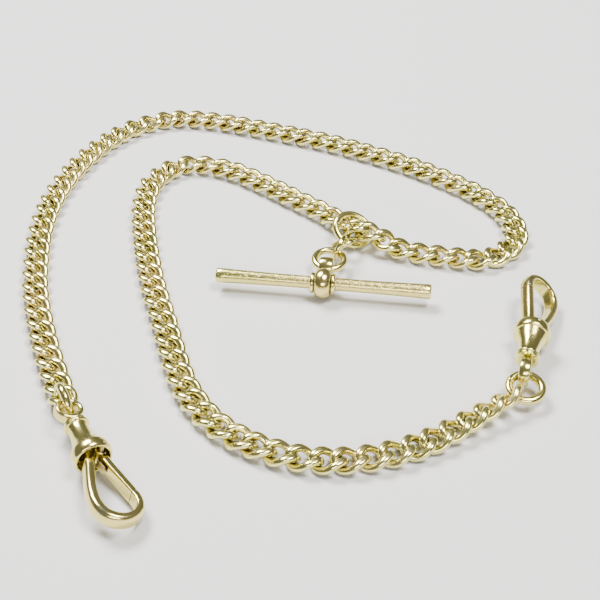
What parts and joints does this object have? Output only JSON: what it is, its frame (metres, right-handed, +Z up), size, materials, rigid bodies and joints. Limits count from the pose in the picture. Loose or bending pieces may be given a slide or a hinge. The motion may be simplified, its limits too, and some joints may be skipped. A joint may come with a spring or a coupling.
{
  "type": "pocket watch chain",
  "caption": "Gold curb-link watch chain with a swivel clip at each end and a T-bar hung from a ring part way along, laid out in loops.",
  "frame": {"origin": "centre of the layout's bounding box, on the surface that it lies on", "axes": "+X to the right and +Y away from the viewer in the layout's plane, +Z up from the surface"},
  "size_m": [0.0864, 0.1074, 0.0061],
  "materials": {
    "chain_gold": "polished yellow gold, worn bright on the high sides",
    "fittings_gold": "polished yellow gold with fine scratches",
    "spring_gold": "dull yellow gold"
  },
  "bodies": {
    "chain_section_01": {"chain_section_01": "chain_gold"},
    "chain_section_02": {"chain_section_02": "chain_gold"},
    "chain_section_03": {"chain_section_03": "chain_gold"},
    "chain_section_04": {"chain_section_04": "chain_gold"},
    "chain_section_05": {"chain_section_05": "chain_gold"},
    "chain_section_06": {"chain_section_06": "chain_gold"},
    "chain_section_07": {"chain_section_07": "chain_gold"},
    "chain_section_08": {"chain_section_08": "chain_gold"},
    "chain_section_09": {"chain_section_09": "chain_gold"},
    "chain_section_10": {"chain_section_10": "chain_gold"},
    "chain_section_11": {"chain_section_11": "chain_gold"},
    "chain_section_12": {"chain_section_12": "chain_gold"},
    "chain_section_13": {"chain_section_13": "chain_gold"},
    "chain_section_14": {"chain_section_14": "chain_gold"},
    "chain_section_15": {"chain_section_15": "chain_gold"},
    "chain_section_16": {"chain_section_16": "chain_gold"},
    "chain_section_17": {"chain_section_17": "chain_gold"},
    "chain_section_18": {"chain_section_18": "chain_gold"},
    "chain_section_19": {"chain_section_19": "chain_gold"},
    "chain_section_20": {"chain_section_20": "chain_gold"},
    "chain_section_21": {"chain_section_21": "chain_gold"},
    "chain_section_22": {"chain_section_22": "chain_gold"},
    "chain_section_23": {"chain_section_23": "chain_gold"},
    "chain_section_24": {"chain_section_24": "chain_gold"},
    "chain_section_25": {"chain_section_25": "chain_gold"},
    "chain_section_26": {"chain_section_26": "chain_gold"},
    "chain_section_27": {"chain_section_27": "chain_gold"},
    "chain_section_28": {"chain_section_28": "chain_gold"},
    "left_end_ring": {"left_end_ring": "fittings_gold"},
    "left_eye": {"left_eye": "fittings_gold", "left_swivel_washer": "fittings_gold"},
    "left_clip": {"left_barrel": "fittings_gold", "left_hook": "fittings_gold", "left_gate_pin": "spring_gold"},
    "left_gate": {"left_gate": "fittings_gold", "left_gate_spring": "spring_gold"},
    "right_end_ring": {"right_end_ring": "fittings_gold"},
    "right_eye": {"right_eye": "fittings_gold", "right_swivel_washer": "fittings_gold"},
    "right_clip": {"right_barrel": "fittings_gold", "right_hook": "fittings_gold", "right_gate_pin": "spring_gold"},
    "right_gate": {"right_gate": "fittings_gold", "right_gate_spring": "spring_gold"},
    "centre_ring": {"centre_ring": "fittings_gold"},
    "drop_link_1": {"drop_link_1": "fittings_gold"},
    "drop_link_2": {"drop_link_2": "fittings_gold"},
    "t_ring": {"t_ring": "fittings_gold"},
    "bar_eye": {"t_bar_eye": "fittings_gold", "t_bar_bead": "fittings_gold"},
    "bar": {"t_bar_rod": "fittings_gold", "t_bar_left_collar": "fittings_gold", "t_bar_right_collar": "fittings_gold"}
  },
  "joints": [
    {"name": "left_gate_open", "type": "hinge", "parent": "left_clip", "child": "left_gate", "pos_m": [-0.02338, -0.04163, 0.00258], "axis": [0.3017, 0.0909, 0.9491], "range_deg": [-20, 0], "stiffness_Nm_per_rad": 0.004, "springref_deg": 20.05},
    {"name": "left_clip_swivel", "type": "hinge", "parent": "left_eye", "child": "left_clip", "pos_m": [-0.02617, -0.0385, 0.00317], "axis": [0.4685, -0.8811, -0.0645], "continuous": true},
    {"name": "right_gate_open", "type": "hinge", "parent": "right_clip", "child": "right_gate", "pos_m": [0.03689, -0.01635, 0.00369], "axis": [0.6427, -0.1863, 0.7431], "range_deg": [-20, 0], "stiffness_Nm_per_rad": 0.004, "springref_deg": 20.05},
    {"name": "right_clip_swivel", "type": "hinge", "parent": "right_eye", "child": "right_clip", "pos_m": [0.03654, -0.0205, 0.00294], "axis": [0.2672, 0.9636, 0.0105], "continuous": true},
    {"name": "bar_turn", "type": "hinge", "parent": "bar_eye", "child": "bar", "pos_m": [0.00671, -0.0037, 0.00245], "axis": [0.9914, -0.1312, 0], "continuous": true},
    {"name": "centre_ring_swing", "type": "hinge", "parent": "chain_section_16", "child": "centre_ring", "pos_m": [0.01197, 0.01172, 0.00211], "axis": [0.3344, -0.3957, 0.8554], "range_deg": [-15, 8]},
    {"name": "drop_link_1_swing", "type": "hinge", "parent": "centre_ring", "child": "drop_link_1", "pos_m": [0.01054, 0.0091, 0.00145], "axis": [0.8186, -0.3277, -0.4716], "range_deg": [-15, 15]},
    {"name": "drop_link_2_swing", "type": "hinge", "parent": "drop_link_1", "child": "drop_link_2", "pos_m": [0.00981, 0.00657, 0.00237], "axis": [0.8948, -0.1238, 0.4289], "range_deg": [-15, 15]},
    {"name": "t_ring_swing", "type": "hinge", "parent": "drop_link_2", "child": "t_ring", "pos_m": [0.00881, 0.00402, 0.00227], "axis": [0.2184, -0.2671, 0.9386], "range_deg": [-15, 15]},
    {"name": "bar_eye_swing", "type": "hinge", "parent": "t_ring", "child": "bar_eye", "pos_m": [0.0073, 0.00068, 0.00199], "axis": [0.9731, -0.2297, -0.0201], "range_deg": [-20, 20]},
    {"name": "left_ring_swing", "type": "hinge", "parent": "chain_section_01", "child": "left_end_ring", "pos_m": [-0.02955, -0.03193, 0.00298], "axis": [-0.8829, -0.4695, 0], "range_deg": [-20, 20]},
    {"name": "left_eye_swing", "type": "hinge", "parent": "left_end_ring", "child": "left_eye", "pos_m": [-0.02845, -0.034, 0.00348], "axis": [-0.098, 0.1843, 0.978], "range_deg": [-20, 20]},
    {"name": "right_ring_swing", "type": "hinge", "parent": "chain_section_28", "child": "right_end_ring", "pos_m": [0.03504, -0.02788, 0.00216], "axis": [0, -0.1736, 0.9848], "range_deg": [-20, 20]},
    {"name": "right_eye_swing", "type": "hinge", "parent": "right_end_ring", "child": "right_eye", "pos_m": [0.03516, -0.02552, 0.00258], "axis": [-0.9986, 0.0514, 0.0091], "range_deg": [-20, 20]},
    {"name": "section_fold_15", "type": "hinge", "parent": "chain_section_16", "child": "chain_section_15", "pos_m": [0.01891, 0.0074, 0.00149], "axis": [-0.3603, -0.9328, 0], "range_deg": [-18, 8]},
    {"name": "section_fold_14", "type": "hinge", "parent": "chain_section_15", "child": "chain_section_14", "pos_m": [0.03124, 0.00439, 0.00119], "axis": [0.049, 0.9988, 0], "range_deg": [-18, 18]},
    {"name": "section_fold_13", "type": "hinge", "parent": "chain_section_14", "child": "chain_section_13", "pos_m": [0.03962, 0.01218, 0.00119], "axis": [-0.9983, 0.059, 0], "range_deg": [-18, 18]},
    {"name": "section_fold_12", "type": "hinge", "parent": "chain_section_13", "child": "chain_section_12", "pos_m": [0.03486, 0.02366, 0.00119], "axis": [0.7656, 0.6433, 0], "range_deg": [-18, 18]},
    {"name": "section_fold_11", "type": "hinge", "parent": "chain_section_12", "child": "chain_section_11", "pos_m": [0.02549, 0.03222, 0.00119], "axis": [0.6058, 0.7956, 0], "range_deg": [-18, 18]},
    {"name": "section_fold_10", "type": "hinge", "parent": "chain_section_11", "child": "chain_section_10", "pos_m": [0.01473, 0.03898, 0.00119], "axis": [-0.4859, -0.874, 0], "range_deg": [-18, 18]},
    {"name": "section_fold_09", "type": "hinge", "parent": "chain_section_10", "child": "chain_section_09", "pos_m": [0.00327, 0.04446, 0.00119], "axis": [-0.3685, -0.9296, 0], "range_deg": [-18, 18]},
    {"name": "section_fold_08", "type": "hinge", "parent": "chain_section_09", "child": "chain_section_08", "pos_m": [-0.00864, 0.04893, 0.00119], "axis": [0.336, 0.9419, 0], "range_deg": [-18, 18]},
    {"name": "section_fold_07", "type": "hinge", "parent": "chain_section_08", "child": "chain_section_07", "pos_m": [-0.02104, 0.05141, 0.00119], "axis": [-0.1122, 0.9937, 0], "range_deg": [-18, 18]},
    {"name": "section_fold_06", "type": "hinge", "parent": "chain_section_07", "child": "chain_section_06", "pos_m": [-0.03166, 0.04494, 0.00119], "axis": [0.7794, -0.6266, 0], "range_deg": [-18, 18]},
    {"name": "section_fold_05", "type": "hinge", "parent": "chain_section_06", "child": "chain_section_05", "pos_m": [-0.03767, 0.03378, 0.00119], "axis": [0.9377, -0.3475, 0], "range_deg": [-18, 18]},
    {"name": "section_fold_04", "type": "hinge", "parent": "chain_section_05", "child": "chain_section_04", "pos_m": [-0.04057, 0.02143, 0.00119], "axis": [-0.994, 0.1096, 0], "range_deg": [-18, 18]},
    {"name": "section_fold_03", "type": "hinge", "parent": "chain_section_04", "child": "chain_section_03", "pos_m": [-0.04063, 0.00873, 0.00119], "axis": [-0.9964, -0.0844, 0], "range_deg": [-18, 18]},
    {"name": "section_fold_02", "type": "hinge", "parent": "chain_section_03", "child": "chain_section_02", "pos_m": [-0.03887, -0.00386, 0.00119], "axis": [0.9796, 0.2008, 0], "range_deg": [-18, 18]},
    {"name": "section_fold_01", "type": "hinge", "parent": "chain_section_02", "child": "chain_section_01", "pos_m": [-0.03541, -0.0161, 0.00119], "axis": [0.9487, 0.3162, 0], "range_deg": [-18, 18]},
    {"name": "section_fold_17", "type": "hinge", "parent": "chain_section_16", "child": "chain_section_17", "pos_m": [0.00965, 0.01509, 0.0015], "axis": [0.7984, 0.6021, 0], "range_deg": [-18, 18]},
    {"name": "section_fold_18", "type": "hinge", "parent": "chain_section_17", "child": "chain_section_18", "pos_m": [0.00066, 0.02401, 0.00118], "axis": [-0.6706, -0.7419, 0], "range_deg": [-18, 18]},
    {"name": "section_fold_19", "type": "hinge", "parent": "chain_section_18", "child": "chain_section_19", "pos_m": [-0.00916, 0.03208, 0.00119], "axis": [-0.4977, -0.8673, 0], "range_deg": [-18, 18]},
    {"name": "section_fold_20", "type": "hinge", "parent": "chain_section_19", "child": "chain_section_20", "pos_m": [-0.02088, 0.03227, 0.00119], "axis": [-0.7144, 0.6997, 0], "range_deg": [-18, 18]},
    {"name": "section_fold_21", "type": "hinge", "parent": "chain_section_20", "child": "chain_section_21", "pos_m": [-0.02419, 0.02035, 0.00119], "axis": [-0.9995, -0.031, 0], "range_deg": [-18, 18]},
    {"name": "section_fold_22", "type": "hinge", "parent": "chain_section_21", "child": "chain_section_22", "pos_m": [-0.02257, 0.00775, 0.00119], "axis": [0.9844, 0.1759, 0], "range_deg": [-18, 18]},
    {"name": "section_fold_23", "type": "hinge", "parent": "chain_section_22", "child": "chain_section_23", "pos_m": [-0.01983, -0.00467, 0.00119], "axis": [0.9654, 0.2608, 0], "range_deg": [-18, 18]},
    {"name": "section_fold_24", "type": "hinge", "parent": "chain_section_23", "child": "chain_section_24", "pos_m": [-0.01645, -0.01693, 0.00119], "axis": [-0.9655, -0.2603, 0], "range_deg": [-18, 18]},
    {"name": "section_fold_25", "type": "hinge", "parent": "chain_section_24", "child": "chain_section_25", "pos_m": [-0.0123, -0.02893, 0.00119], "axis": [-0.8858, -0.4641, 0], "range_deg": [-18, 18]},
    {"name": "section_fold_26", "type": "hinge", "parent": "chain_section_25", "child": "chain_section_26", "pos_m": [-0.00375, -0.0381, 0.00119], "axis": [0.5099, 0.8602, 0], "range_deg": [-18, 18]},
    {"name": "section_fold_27", "type": "hinge", "parent": "chain_section_26", "child": "chain_section_27", "pos_m": [0.00837, -0.04131, 0.00119], "axis": [-0.0429, 0.9991, 0], "range_deg": [-18, 18]},
    {"name": "section_fold_28", "type": "hinge", "parent": "chain_section_27", "child": "chain_section_28", "pos_m": [0.02051, -0.03784, 0.00119], "axis": [0.4743, -0.8803, 0], "range_deg": [-18, 18]}
  ]
}
